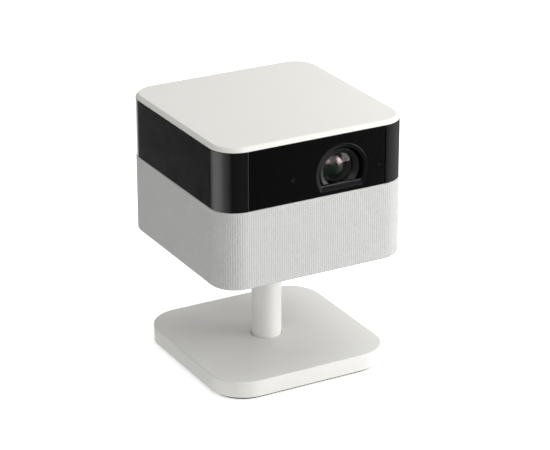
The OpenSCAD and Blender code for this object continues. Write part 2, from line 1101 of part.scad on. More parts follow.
module hdmi_port() {
    z = io_z + 1.6;
    y = [bay_y - 14, bay_y];
    color("silver") {
        difference() {
            translate([hdmi_x, y[0], z])
                rotate([-90, 0, 0])
                    mirror([0, 1, 0])
                        linear_extrude(14)
                            polygon([[-5.5, 0], [5.5, 0], [7.5, 2.2], [7.5, 5.6], [-7.5, 5.6], [-7.5, 2.2]]);
            translate([hdmi_x, y[0] + 1, z])
                rotate([-90, 0, 0])
                    mirror([0, 1, 0])
                        linear_extrude(15)
                            polygon([[-5.2, 0.5], [5.2, 0.5], [7, 2.4], [7, 5.1], [-7, 5.1], [-7, 2.4]]);
        }
        block([hdmi_x - 5.5, hdmi_x + 5.5], [y[0] + 0.5, y[1] - 2], [z + 2.8, z + 3.6]);
    }
}

module usb_port() {
    z = io_z + 1.6;
    y = [bay_y - 14, bay_y];
    color("silver") {
        difference() {
            block([usb_x - 6.5, usb_x + 6.5], y, [z, z + 5.8]);
            block([usb_x - 6, usb_x + 6], [y[0] + 1, y[1] + 1], [z + 0.5, z + 5.3]);
        }
        block([usb_x - 5.5, usb_x + 5.5], [y[0] + 0.5, y[1] - 1.5], [z + 2.9, z + 4.6]);
    }
}

module dc_inlet() {
    color("dimgray")
        translate([dc_x, 0, io_z + 7]) {
            difference() {
                union() {
                    block([-4.5, 4.5], [bay_y - 14, bay_y - 1.6], [-5.4, 5]);
                    rod_y(4.2, bay_y - 2, bay_y);
                }
                rod_y(3.1, bay_y - 11, bay_y + 1);
            }
            rod_y(1, bay_y - 12, bay_y - 1);
        }
}

module power_button() {
    face = half - panel_t;
    color("dimgray")
        translate([button_x, 0, button_z]) {
            rod_y(button_r, face - 0.4, half - 0.4);
            rod_y(button_r + 1.2, face - 1.9, face - 0.4);
            rod_y(1.5, bay_y - 1.6 - 3.5 + button_travel + 0.2, face - 1.9);
        }
}

module sensor_modules() {
    wall_y = -half + band_t;
    color("darkslateblue")
        for (x = sensor_x)
            translate([x, 0, sensor_z]) {
                rod_y(1.7, -half + 0.1, wall_y);
                rod_y(4, -half + panel_t, wall_y);
                block([-5, x > 0 ? 5 : 8], [wall_y, wall_y + 3], [-6, 6]);
            }
}

// ---------------------------------------------------------------- loudspeakers

module speaker_boxes() {
    t = 2;
    color([0.2, 0.2, 0.22])
        on_both_sides()
            difference() {
                block(box_x, box_y, box_z);
                block([box_x[0] + t, box_x[1] - t], [box_y[0] + t, box_y[1] - t],
                      [box_z[0] + t, box_z[1] - t]);
                translate([0, driver_y, driver_z])
                    rod_x(22.6, box_x[1] - 3, box_x[1] + 1);
            }
}

// Places a driver, drawn with its axis along +Z and its flange seat at zero
module at_driver() {
    translate([box_x[1], driver_y, driver_z])
        rotate([0, 90, 0])
            children();
}

module speaker_drivers() {
    color("silver")
        on_both_sides()
            at_driver()
                rotate_extrude()
                    polygon([
                        [driver_r, 0], [driver_r, 1.6], [21.5, 1.6], [21.5, -0.9],
                        [14.5, -14.8], [8, -14.8], [8, -23], [6.2, -23], [6.2, -16],
                        [0, -16], [0, -26], [16, -26], [16, -14.2], [22.5, -1], [22.5, 0]
                    ]);
}

// Cone, dust cap, rolled surround and voice coil as one moving piece
module cone() {
    color("black")
        at_driver()
            rotate_extrude() {
                polygon([
                    [7.3, -10], [19.2, 1], [21.2, 1], [21.2, 1.8], [18.6, 1.8], [7.3, -9],
                    [6, -7.4], [0, -6.2], [0, -7], [5.6, -8.2], [6.9, -9.6],
                    [6.9, -21], [7.3, -21]
                ]);
                translate([20, 1.8])
                    intersection() {
                        circle(r = 1.2);
                        translate([-2, 0])
                            square(4);
                    }
            }
}

module cone_right() {
    cone();
}

module cone_left() {
    mirror([1, 0, 0])
        cone();
}

foot_pad();
base_cover();
base_weight();
base_plate();
base_screws();
swivel_bush();
column_foot();
column_tube();
tie_bolt();
swivel_nut();
wave_washer();
hinge_head();
tilt_axle();
hinge_brackets();
friction_washers();
axle_nuts();
stand_channel();
bottom_cover();
dust_filter();
chassis_plate();
frame_posts();
case_screws();
speaker_grille();
speaker_cloth();
deck_frame();
side_band();
front_window();
lens_surround();
rear_panel();
top_cover();
engine_housing();
engine_lid();
lens_barrel();
front_lens();
focus_ring();
focus_pinion();
focus_motor();
focus_cell();
rear_lens();
prism();
imager_board();
led_modules();
beam_optics();
heat_sink();
heat_pipes();
fan_frame();
fan_rotor();
blower_housing();
blower_rotor();
main_board();
io_board();
hdmi_port();
usb_port();
dc_inlet();
power_button();
sensor_modules();
speaker_boxes();
speaker_drivers();
cone_left();
cone_right();
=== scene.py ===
"""Looks of the home projector: finely rounded shells, ribbed cloth and a coated lens
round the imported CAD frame.
"""

import json
import math

import bmesh
import bpy
import numpy as np
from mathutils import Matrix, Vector

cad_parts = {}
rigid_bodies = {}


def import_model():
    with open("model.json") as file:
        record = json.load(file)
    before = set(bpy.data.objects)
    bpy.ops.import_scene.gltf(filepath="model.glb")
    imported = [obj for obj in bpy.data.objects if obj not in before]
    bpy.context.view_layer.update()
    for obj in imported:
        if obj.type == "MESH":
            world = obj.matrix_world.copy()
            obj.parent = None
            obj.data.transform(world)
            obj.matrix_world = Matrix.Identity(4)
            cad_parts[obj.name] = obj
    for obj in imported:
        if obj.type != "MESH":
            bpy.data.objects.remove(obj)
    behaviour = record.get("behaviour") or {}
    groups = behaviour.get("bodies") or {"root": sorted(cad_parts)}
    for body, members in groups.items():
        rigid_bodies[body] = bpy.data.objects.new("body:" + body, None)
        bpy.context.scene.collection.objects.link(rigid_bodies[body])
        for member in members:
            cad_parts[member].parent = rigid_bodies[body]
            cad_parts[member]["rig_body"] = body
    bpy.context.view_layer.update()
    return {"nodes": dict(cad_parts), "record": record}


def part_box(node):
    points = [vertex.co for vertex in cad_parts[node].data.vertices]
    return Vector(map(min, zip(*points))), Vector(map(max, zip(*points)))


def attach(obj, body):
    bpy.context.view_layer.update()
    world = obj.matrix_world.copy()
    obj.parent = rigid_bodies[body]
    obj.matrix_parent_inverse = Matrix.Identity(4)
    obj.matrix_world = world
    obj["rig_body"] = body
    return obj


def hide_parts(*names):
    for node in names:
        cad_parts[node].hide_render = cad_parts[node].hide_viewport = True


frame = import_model()

MM = 0.001

# Corners of the CAD boxes
band_low, band_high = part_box("side_band")
cloth_low, cloth_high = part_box("speaker_cloth")
plate_low, plate_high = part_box("base_plate")
pad_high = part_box("foot_pad")[1]
tube_low, tube_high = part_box("column_tube")
window_low, window_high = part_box("front_window")
glass_low, glass_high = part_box("front_lens")
barrel_low, barrel_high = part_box("lens_barrel")
rear_low, rear_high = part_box("rear_lens")
HALF = band_high.x
LID_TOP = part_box("top_cover")[1].z
LENS_X = (glass_low.x + glass_high.x) / 2
LENS_Z = (glass_low.z + glass_high.z) / 2

# Base and column
PLATE_R = 33 * MM  # corner of the plate, seen from above
PLATE_EDGE = 1.3 * MM  # rounding of its upper edge
PLATE_WALL = 3 * MM
PLATE_SKIN = 3.5 * MM  # thickness of its top
HUB_R = 20 * MM  # round boss under the plate that holds the bush
HUB_DROP = 5.5 * MM
BUSH_R = 13 * MM
WELL_GAP = 0.6 * MM  # dark ring between the plate and the column
PAD_R = 29.5 * MM
PAD_BEVEL = 1.2 * MM
PAD_RIM = 2.0 * MM
TUBE_WALL = 2.75 * MM

# Body, lid and band
BODY_R = 24 * MM  # corner of the body, seen from above
BAND_T = 4 * MM
LID_SLOPE = 2.8 * MM  # reach of the sloping edge of the lid
LID_FLAT = 6 * MM  # from that slope to the first loop of the flat top
LID_RIM = 1.0 * MM  # upright edge under the slope
LID_GAP = 0.1 * MM  # shadow gap between band and lid
LIP_GAP = 0.2 * MM  # from the band to the lid's lip inside it
LIP_T = 1.5 * MM
LIP_DROP = 2.5 * MM
LID_CAVITY = 2.4 * MM  # from the lid's top to its underside
BAND_GAP = 0.03 * MM
BAND_END = 0.35 * MM  # rounding of the band's ends, at the window and at the back panel

# Window, sensors and the recess for the lens
PANEL_T = 2.5 * MM
PANEL_GAP = 0.3 * MM
PANEL_HALF = HALF - BODY_R - 0.5 * MM
SEAM_R = 0.7 * MM  # what the right seam is wider than the left one
WINDOW_R = 0.5 * MM
WINDOW_EDGE = 0.25 * MM
SENSORS_X = (-24 * MM, 62.5 * MM)
SENSOR_Z = LENS_Z + 1.5 * MM
SENSOR_R = 1.8 * MM
# The recess and the opening inside its bevelled rim are round, and cut flat at LOW under the axis
RECESS_R = 25.7 * MM
RECESS_LOW = 15.3 * MM
RECESS_D = 10 * MM
RECESS_GAP = 0.1 * MM
CUP_R = 22.2 * MM
SHELF_LOW = 10.6 * MM
SHELF_D = 4.1 * MM  # depth of the frame that makes this rim
RAMP_D = 0.8 * MM  # depth that the sill slopes down to
RING_D = 0.6 * MM  # depth that the rim round the arc slopes down to
BAFFLE_R = 19.6 * MM
BAFFLE_T = 1.5 * MM

# Lenses and barrel; a DOME is the radius of a lens's curved front
BEZEL_R = 19.5 * MM
FRONT_GLASS_R = 15 * MM
FRONT_DOME = 40 * MM
INNER_GLASS_R = 11.4 * MM
INNER_DOME = 15.5 * MM
INNER_GAP = 0.3 * MM
INNER_EDGE_T = 0.8 * MM
REAR_GLASS_R = 12 * MM
REAR_DOME = 30 * MM
GLASS_GAP = 0.02 * MM
BARREL_R = 17 * MM
BEZEL_LENGTH = 11.8 * MM

# Cloth
RIBS = 330
PER_RIB = 6  # columns of the mesh to each rib
RIB_DEPTH = 0.4 * MM
CLOTH_T = 1 * MM
PROUD = 0.45 * MM  # how far the ribs stand out from the CAD sleeve
CLOTH_TOP_R = 0.7 * MM
CLOTH_EDGE_R = 2.5 * MM
TURN_IN = 5 * MM
NOTCH_X = 18.85 * MM  # half the width of the cut-out for the column
CLOTH_RELIEF = 0.16 * MM  # depth of the stitches

# Numbers of steps: round a corner, along a side, round the recess, along its base, round a tube
ARC = 20
FLAT = 12
OUTLINE_ARC = 84
OUTLINE_BASE = 24
ROUND_STEPS = 128


# ---------------------------------------------------------------- mesh helpers


def new_piece(name, verts, faces, smooth_angle=32):
    """A mesh object with outward normals, whose flat faces stay flat under smooth shading."""
    mesh = bpy.data.meshes.new(name)
    mesh.from_pydata([tuple(v) for v in verts], [], [tuple(f) for f in faces])
    bm = bmesh.new()
    bm.from_mesh(mesh)
    bmesh.ops.remove_doubles(bm, verts=bm.verts, dist=1e-7)
    bmesh.ops.recalc_face_normals(bm, faces=bm.faces)
    bm.to_mesh(mesh)
    bm.free()
    piece = bpy.data.objects.new(name, mesh)
    bpy.context.scene.collection.objects.link(piece)
    shade(piece, smooth_angle)
    return piece


def shade(piece, angle):
    """Smooth shading, with edges sharper than an angle in degrees kept sharp."""
    piece.data.shade_smooth()
    piece.data.set_sharp_from_angle(angle=math.radians(angle))
    weighted = piece.modifiers.new("flat_faces", "WEIGHTED_NORMAL")
    weighted.keep_sharp = True
    weighted.weight = 100


def filleted(corners, closed=True, steps=5):
    """Points of a polyline whose corners (x, y, radius) are rounded."""
    points, n = [], len(corners)
    for i, (x, y, r) in enumerate(corners):
        p = np.array((x, y), float)
        if r <= 0 or (not closed and i in (0, n - 1)):
            points.append(p)
            continue
        u = np.array(corners[i - 1][:2], float) - p
        v = np.array(corners[(i + 1) % n][:2], float) - p
        u, v = u / np.linalg.norm(u), v / np.linalg.norm(v)
        angle = math.acos(max(-1.0, min(1.0, float(u @ v))))
        centre = p + (u + v) / np.linalg.norm(u + v) * r / math.sin(angle / 2)
        reach = r / math.tan(angle / 2)
        first, last, sweep = p + u * reach - centre, p + v * reach - centre, math.pi - angle
        for k in range(steps + 1):
            f = k / steps
            points.append(
                centre
                + (math.sin((1 - f) * sweep) * first + math.sin(f * sweep) * last)
                / math.sin(sweep)
            )
    return points


def square_loop(half, radius, z):
    """Rounded square at height z, counterclockwise seen from above."""
    c, points = half - radius, []
    for k in range(4):
        cx = c if k in (0, 3) else -c
        cy = c if k in (0, 1) else -c
        for i in range(ARC + 1):
            a = math.radians(90 * (k + i / ARC))
            points.append((cx + radius * math.cos(a), cy + radius * math.sin(a), z))
        start = np.array(points[-1])
        turn = math.radians(90 * (k + 1))
        way = np.array((-math.sin(turn), math.cos(turn), 0))
        for j in range(1, FLAT):
            points.append(tuple(start + way * 2 * c * j / FLAT))
    return np.array(points)


def round_loop(radius, z, half=HALF, corner=BODY_R):
    """Circle whose points stand opposite those of a rounded square."""
    square = square_loop(half, corner, z)
    length = np.linalg.norm(square[:, :2], axis=1)[:, None]
    return np.hstack([square[:, :2] / length * radius, square[:, 2:]])


def loft(name, loops, ring=False, smooth_angle=32):
    """A closed skin over loops of as many points each: capped, or joined end to end as a ring."""
    n, m, faces = len(loops[0]), len(loops), []
    for i in range(m if ring else m - 1):
        a, b = i * n, (i + 1) % m * n
        faces += [(a + j, a + (j + 1) % n, b + (j + 1) % n, b + j) for j in range(n)]
    if not ring:
        faces += [list(range(n))[::-1], list(range((m - 1) * n, m * n))]
    return new_piece(name, np.vstack(loops), faces, smooth_angle)


def lathe(name, profile, centre, axis="y", steps=96, smooth_angle=32):
    """A closed profile of (radius, place along the axis) turned round an axis through centre.

    A profile that starts or ends at radius 0 closes on the axis.
    """
    loops = []
    for r, along in profile:
        a = np.arange(steps) / steps * 2 * math.pi
        u, v = r * np.cos(a), r * np.sin(a)
        w = np.full(steps, along)
        parts = (u, w, v) if axis == "y" else (u, v, w)
        loops.append(np.stack(parts, axis=1) + np.array(centre))
    ring = profile[0][0] > 0 and profile[-1][0] > 0
    return loft(name, loops, ring=ring, smooth_angle=smooth_angle)


def swept(name, path, profile):
    """A closed profile of (inset, z) carried along an open path, with flat ends.

    The path's rows are (x, y, normal x, normal y, least inset).
    """
    loops = []
    for x, y, nx, ny, least in path:
        insets = [(max(d, least), z) for d, z in profile]
        loops.append(np.array([(x - nx * d, y - ny * d, z) for d, z in insets]))
    return loft(name, loops)


def arc_points(r, low, steps):
    """Points (x, z) on a circle about the lens axis, over the top, between two points low under it."""
    start = -math.asin(min(1.0, low / r))
    angles = [start + (math.pi - 2 * start) * i / steps for i in range(steps + 1)]
    return [(r * math.cos(a), r * math.sin(a)) for a in angles]


def cut_circle(r, low):
    """Closed outline of a circle about the lens axis cut flat at low under it."""
    points = arc_points(r, low, OUTLINE_ARC)
    (x0, z0), (x1, _) = points[-1], points[0]
    points += [(x0 + (x1 - x0) * i / OUTLINE_BASE, z0) for i in range(1, OUTLINE_BASE)]
    return np.array(points)


def open_ring(outer_r, inner_r, low):
    """Closed outline of a ring about the lens axis that is open below low."""
    outer = arc_points(outer_r, low, OUTLINE_ARC)
    inner = arc_points(inner_r, low, OUTLINE_ARC)
    return np.array(outer + inner[::-1])


def inset(points, by):
    """A closed outline moved inward by a small distance, whichever way it turns."""
    before, after = np.roll(points, 1, axis=0), np.roll(points, -1, axis=0)
    a, b = points - before, after - points
    a /= np.maximum(np.linalg.norm(a, axis=1), 1e-12)[:, None]
    b /= np.maximum(np.linalg.norm(b, axis=1), 1e-12)[:, None]
    area = float(np.sum(before[:, 0] * points[:, 1] - before[:, 1] * points[:, 0]))
    side = 1 if area > 0 else -1
    na = np.stack([-a[:, 1], a[:, 0]], axis=1) * side
    nb = np.stack([-b[:, 1], b[:, 0]], axis=1) * side
    mid = na + nb
    scale = 2 / np.maximum((mid**2).sum(1), 0.4)
    return points + mid * scale[:, None] * by


def panel(name, outlines, front, back, edge, steps=3):
    """A flat panel in the XZ plane, from front to back along Y, with its front edges rounded.

    The first outline is its outside and the others are holes.
    """
    verts, faces, rims = [], [], []
    for k, outline in enumerate(outlines):
        side = 1 if k == 0 else -1
        rings = []
        for i in range(steps + 1):
            a = math.pi / 2 * i / steps
            drawn_in = inset(outline, side * edge * (1 - math.sin(a)))
            rings.append((drawn_in, front + edge * (1 - math.cos(a))))
        rings.append((outline, back))
        n, start = len(outline), len(verts)
        for points, y in rings:
            verts += [(x, y, z) for x, z in points]
        for i in range(len(rings) - 1):
            a, b = start + i * n, start + (i + 1) * n
            faces += [(a + j, a + (j + 1) % n, b + (j + 1) % n, b + j) for j in range(n)]
        rims.append((start, start + (len(rings) - 1) * n, n))
    for level in (0, 1):
        bm = bmesh.new()
        index, edges = {}, []
        for rim in rims:
            start, n = rim[level], rim[2]
            rim_verts = [bm.verts.new(verts[start + j]) for j in range(n)]
            for j, v in enumerate(rim_verts):
                index[v] = start + j
            edges += [bm.edges.new((rim_verts[j], rim_verts[(j + 1) % n])) for j in range(n)]
        bmesh.ops.triangle_fill(bm, use_beauty=True, use_dissolve=False, edges=edges)
        faces += [tuple(index[v] for v in f.verts) for f in bm.faces]
        bm.free()
    return new_piece(name, verts, faces)


def circle_points(x, z, r, steps=32):
    """Outline of a circle in the XZ plane."""
    turns = [2 * math.pi * i / steps for i in range(steps)]
    return np.array([(x + r * math.cos(a), z + r * math.sin(a)) for a in turns])


def softened(node, name, width, angle=28):
    """A CAD node's shape again, with its sharp edges rounded by width."""
    mesh = frame["nodes"][node].data.copy()
    bm = bmesh.new()
    bm.from_mesh(mesh)
    bmesh.ops.remove_doubles(bm, verts=bm.verts, dist=2e-6)
    bmesh.ops.dissolve_limit(
        bm, angle_limit=math.radians(0.4), verts=bm.verts, edges=bm.edges
    )
    sharp = [
        e
        for e in bm.edges
        if e.is_manifold and e.calc_face_angle(0) > math.radians(angle)
    ]
    bmesh.ops.bevel(
        bm,
        geom=sharp,
        offset=width,
        offset_type="OFFSET",
        segments=2,
        profile=0.5,
        affect="EDGES",
        clamp_overlap=True,
    )
    bmesh.ops.recalc_face_normals(bm, faces=bm.faces)
    bm.to_mesh(mesh)
    bm.free()
    if mesh.has_custom_normals:
        mesh.normals_split_custom_set([(0, 0, 0)] * len(mesh.loops))
    mesh.materials.clear()
    piece = bpy.data.objects.new(name, mesh)
    bpy.context.scene.collection.objects.link(piece)
    shade(piece, 40)
    return piece


# ---------------------------------------------------------------- materials


def node_input(tree, socket, value):
    """Links a socket to a node's output, or sets it to a plain value."""
    if isinstance(value, bpy.types.NodeSocket):
        tree.links.new(value, socket)
    else:
        socket.default_value = value


def add_node(tree, kind, settings=None, **inputs):
    """A node with its settings and inputs. An underscore in an input's name stands for a space."""
    node = tree.nodes.new(kind)
    for key, value in (settings or {}).items():
        setattr(node, key, value)
    for key, value in inputs.items():
        node_input(tree, node.inputs[key.replace("_", " ")], value)
    return node


def maths(tree, kind, *values):
    """The result of one maths node."""
    node = add_node(tree, "ShaderNodeMath", {"operation": kind})
    for socket, value in zip(node.inputs, values):
        node_input(tree, socket, value)
    return node.outputs[0]


def eased(tree, value, start, end, low=0.0, high=1.0):
    """A value that goes smoothly from low to high as another goes from start to end."""
    return add_node(
        tree,
        "ShaderNodeMapRange",
        {"interpolation_type": "SMOOTHSTEP"},
        Value=value,
        From_Min=start,
        From_Max=end,
        To_Min=low,
        To_Max=high,
    ).outputs["Result"]


def noise_of(tree, scale, detail=3.0, roughness=0.5):
    """Fractal noise over the piece's own space, from 0 to 1."""
    place = add_node(tree, "ShaderNodeTexCoord").outputs["Object"]
    return add_node(
        tree,
        "ShaderNodeTexNoise",
        Vector=place,
        Scale=scale,
        Detail=detail,
        Roughness=roughness,
    ).outputs["Fac"]


def ramp(tree, value, low, high, start=0.3, end=0.7):
    """A value spread between two numbers."""
    return add_node(
        tree,
        "ShaderNodeMapRange",
        Value=value,
        From_Min=start,
        From_Max=end,
        To_Min=low,
        To_Max=high,
    ).outputs["Result"]


def tinted(tree, value, dark, light):
    """A colour from dark to light as a value goes from 0 to 1."""
    mix = tree.nodes.new("ShaderNodeMix")
    mix.data_type = "RGBA"
    tree.links.new(value, mix.inputs[0])
    mix.inputs[6].default_value = (*dark, 1)
    mix.inputs[7].default_value = (*light, 1)
    return mix.outputs[2]


def bumped(tree, shader, depth, height):
    """Turns a height from 0 to 1 into relief of some depth in metres."""
    bump = add_node(tree, "ShaderNodeBump", Strength=1.0, Distance=depth, Height=height)
    tree.links.new(bump.outputs["Normal"], shader.inputs["Normal"])


def new_material(name):
    """A material with its node tree and its shader."""
    material = bpy.data.materials.new(name)
    material.use_nodes = True
    return material, material.node_tree, material.node_tree.nodes["Principled BSDF"]


def finish(
    name,
    colour,
    roughness,
    spread=0.03,
    patch=60.0,
    grain=0.0,
    grain_depth=0.0,
    rough_spread=0.0,
    **plain,
):
    """A plain surface whose colour drifts by spread over patches, given as a noise scale.

    rough_spread does the same for the roughness, and grain adds fine relief. The inputs in plain
    are set as they are, with an underscore for each space in their names.
    """
    material, tree, shader = new_material(name)
    drift = noise_of(tree, patch, detail=2.0)
    dark = [c * (1 - spread) for c in colour]
    light = [min(1.0, c * (1 + spread)) for c in colour]
    tree.links.new(tinted(tree, drift, dark, light), shader.inputs["Base Color"])
    shader.inputs["Roughness"].default_value = roughness
    if rough_spread:
        smudge = noise_of(tree, patch * 2.3, detail=4.0)
        tree.links.new(
            ramp(tree, smudge, roughness - rough_spread, roughness + rough_spread),
            shader.inputs["Roughness"],
        )
    if grain:
        bumped(tree, shader, grain_depth, noise_of(tree, grain, detail=2.0))
    for key, value in plain.items():
        shader.inputs[key.replace("_", " ")].default_value = value
    return material


def cloth_finish(name, light, dark, rib, stitch):
    """Ribbed knit: stitches run across each rib, and its colour is painted lighter and darker in step
    with the ribs and the stitch loops, as painted shade.

    rib and stitch are the lengths of one rib and one stitch in the cloth's own coordinates.
    """
    material, tree, shader = new_material(name)
    weave = add_node(tree, "ShaderNodeUVMap", {"uv_map": "weave"}).outputs["UV"]
    parts = add_node(tree, "ShaderNodeSeparateXYZ", Vector=weave)
    across, along = parts.outputs["X"], parts.outputs["Y"]

    def wave(value, period, shift=0.0):
        return maths(tree, "SINE", maths(tree, "MULTIPLY_ADD", value, 2 * math.pi / period, shift))

    lean = maths(tree, "MULTIPLY", wave(across, rib), stitch * 0.35)
    loops = wave(maths(tree, "ADD", along, lean), stitch)
    fibres = noise_of(tree, 2600, detail=4.0, roughness=0.7)
    fuzz = maths(tree, "MULTIPLY", fibres, 0.8)
    bumped(tree, shader, CLOTH_RELIEF, maths(tree, "MULTIPLY_ADD", loops, 0.5, fuzz))
    # Painted shade: the colour goes lighter and darker across each rib and with each stitch loop, in
    # step with their relief
    painted_rib_shade = wave(across, rib, math.pi / 2)
    painted_loop_shade = maths(tree, "MULTIPLY", loops, 0.12)
    shadow = maths(tree, "MULTIPLY_ADD", painted_rib_shade, 0.16, painted_loop_shade)
    # Random mottle, with the painted shade added to it
    mottle_and_painted_shade = maths(tree, "MULTIPLY_ADD", noise_of(tree, 420, detail=5.0), 0.9, shadow)
    tree.links.new(
        tinted(tree, ramp(tree, mottle_and_painted_shade, 0.0, 1.0, 0.05, 0.85), dark, light),
        shader.inputs["Base Color"],
    )
    shader.inputs["Roughness"].default_value = 0.92
    shader.inputs["Sheen Weight"].default_value = 0.05
    shader.inputs["Sheen Roughness"].default_value = 0.5
    shader.inputs["Specular IOR Level"].default_value = 0.2
    return material


def glass_finish(name, tint, coating, weight, ior=1.5):
    """Optical glass whose anti-reflection coat gives its reflections a colour."""
    material, tree, shader = new_material(name)
    drift = noise_of(tree, 90, detail=2.0)
    deeper = [c * 0.96 for c in tint]
    tree.links.new(tinted(tree, drift, deeper, tint), shader.inputs["Base Color"])
    shader.inputs["Roughness"].default_value = 0.015
    shader.inputs["IOR"].default_value = ior
    shader.inputs["Transmission Weight"].default_value = weight
    shader.inputs["Specular IOR Level"].default_value = 1.0
    shader.inputs["Specular Tint"].default_value = (*coating, 1)
    return material


def coated_painted_reflection_finish(name, depth, rim, coating):
    """An inner lens against the dark of the barrel, with a coat that reflects a tint. Its body colour
    is painted: a green painted reflection where it faces the view, going to a painted darker rim where
    it turns away.
    """
    material, tree, shader = new_material(name)
    painted_rim_shade = add_node(tree, "ShaderNodeLayerWeight", Blend=0.35).outputs["Facing"]
    tree.links.new(tinted(tree, painted_rim_shade, depth, rim), shader.inputs["Base Color"])
    shader.inputs["Roughness"].default_value = 0.2
    shader.inputs["IOR"].default_value = 1.8
    shader.inputs["Specular IOR Level"].default_value = 1.0
    shader.inputs["Specular Tint"].default_value = (*coating, 1)
    return material


RECORD_SLOTS = {m["slot"]: m for m in frame["record"]["materials"]}
NODE_SLOTS = {s["node"]: s["material_slot"] for s in frame["record"]["subparts"]}
ROUGHNESS = {"gloss": 0.12, "satin": 0.38, "matte": 0.62}
METALS = ("brushed_steel", "aluminium", "chrome", "cast_iron", "brass")


def slot_finish(slot):
    """A finish for a carried CAD node, from its slot in the record."""
    row = RECORD_SLOTS[slot]
    colour = row["base_color"][:3]
    rough = ROUGHNESS.get(row.get("finish"), 0.5)
    if row["class"] in METALS:
        return finish(slot, colour, rough, 0.08, 140, rough_spread=0.06, Metallic=1.0)
    if row["class"] == "glass":
        return glass_finish(slot, colour, (1, 1, 1), 0.9)
    return finish(slot, colour, rough, 0.06, 160, grain=1800, grain_depth=0.04 * MM)


# Finishes matched to the photograph; a slot that isn't here gets slot_finish
made = {
    "lid_white": finish(
        "lid_white",
        (0.80, 0.791, 0.752),
        0.42,
        spread=0.012,
        patch=25,
        grain=2600,
        grain_depth=0.02 * MM,
        rough_spread=0.03,
    ),
    "stand_white": finish(
        "stand_white",
        (0.83, 0.823, 0.79),
        0.45,
        spread=0.012,
        patch=25,
        grain=2200,
        grain_depth=0.03 * MM,
        rough_spread=0.04,
    ),
    "column_white": finish(
        "column_white",
        (0.89, 0.883, 0.85),
        0.40,
        spread=0.01,
        patch=40,
        grain=2200,
        grain_depth=0.02 * MM,
        rough_spread=0.03,
    ),
    "band_gloss": finish(
        "band_gloss",
        (0.0085, 0.0085, 0.0088),
        0.16,
        spread=0.05,
        patch=30,
        rough_spread=0.02,
    ),
    "window_gloss": finish(
        "window_gloss",
        (0.0034, 0.0034, 0.0037),
        0.06,
        spread=0.05,
        patch=30,
        rough_spread=0.01,
    ),
    "surround_black": finish(
        "surround_black",
        (0.0058, 0.0058, 0.0061),
        0.22,
        spread=0.06,
        patch=90,
        grain=2400,
        grain_depth=0.008 * MM,
    ),
    "sensor_black": finish(
        "sensor_black",
        (0.0015, 0.0015, 0.0016),
        0.3,
        spread=0.1,
        patch=200,
        rough_spread=0.03,
        Specular_IOR_Level=0.12,
    ),
    # Pale grey of the painted highlight in the left seam
    "seal_grey": finish(
        "seal_grey",
        (0.05, 0.05, 0.05),
        0.45,
        spread=0.1,
        patch=200,
        grain=1500,
        grain_depth=0.02 * MM,
    ),
    "barrel_black": finish(
        "barrel_black",
        (0.011, 0.011, 0.0115),
        0.36,
        spread=0.06,
        patch=120,
        grain=2400,
        grain_depth=0.006 * MM,
    ),
    "pad_rubber": finish(
        "pad_rubber",
        (0.022, 0.022, 0.022),
        0.8,
        spread=0.2,
        patch=300,
        grain=1600,
        grain_depth=0.12 * MM,
    ),
    "cloth": cloth_finish(
        "cloth", (0.68, 0.68, 0.666), (0.57, 0.57, 0.558), rib=1.0, stitch=0.9
    ),
    "lens_glass": glass_finish(
        "lens_glass", (0.90, 0.90, 0.88), (1.0, 0.84, 0.82), 1.0, ior=1.3
    ),
    # The inner lens's green body colour is a painted reflection, and its darker rim is painted shade
    "inner_glass": coated_painted_reflection_finish(
        "inner_glass", (0.001, 0.045, 0.02), (0.007, 0.003, 0.005), (1.0, 0.74, 0.80)
    ),
    "optic_glass": glass_finish("optic_glass", (0.70, 0.92, 0.80), (0.45, 1.0, 0.62), 1.0),
    "vent_black": finish(
        "vent_black",
        (0.012, 0.012, 0.013),
        0.36,
        spread=0.08,
        patch=90,
        grain=1800,
        grain_depth=0.05 * MM,
    ),
}


def slot_material(slot):
    """The finish of a slot, made the first time that it is asked for."""
    if slot not in made:
        made[slot] = slot_finish(slot)
    return made[slot]


def paint(piece, material):
    """Gives a piece one material in place of those it has."""
    piece.data.materials.clear()
    piece.data.materials.append(material)


def put(piece, body, node, material=None):
    """The piece rides on a body, stands for a CAD node and takes its finish from the node's slot."""
    slot = NODE_SLOTS[node]
    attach(piece, body)
    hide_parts(node)
    paint(piece, material or slot_material(slot))


# ---------------------------------------------------------------- base and column

seat_z = plate_high.z - PLATE_SKIN
bush_z = seat_z - HUB_DROP
plate_half = plate_high.x
well_r = tube_high.x + WELL_GAP


def plate_square(d, z):
    """The plate's outline drawn in by d, at height z."""
    return square_loop(plate_half - d, PLATE_R - d, z)


def plate_round(r, z):
    """A circle in the plate, at height z."""
    return round_loop(r, z, plate_half, PLATE_R)


plate_outside = filleted(
    [
        (PLATE_WALL, plate_low.z, 0),
        (0, plate_low.z, 0.3 * MM),
        (0, plate_high.z, PLATE_EDGE),
        (PLATE_EDGE * 2, plate_high.z, 0),
    ],
    closed=False,
    steps=7,
)
plate_well = [
    (well_r + 0.5 * MM, plate_high.z),
    (well_r + 0.15 * MM, plate_high.z - 0.05 * MM),
    (well_r, plate_high.z - 0.25 * MM),
    (well_r, seat_z),
    (BUSH_R, seat_z),
    (BUSH_R, bush_z),
    (HUB_R, bush_z),
    (HUB_R, seat_z),
]
put(
    loft(
        "plate_shell",
        [plate_square(d, z) for d, z in plate_outside]
        + [plate_round(r, z) for r, z in plate_well]
        + [plate_square(PLATE_WALL, seat_z)],
        ring=True,
    ),
    "base",
    "base_plate",
)

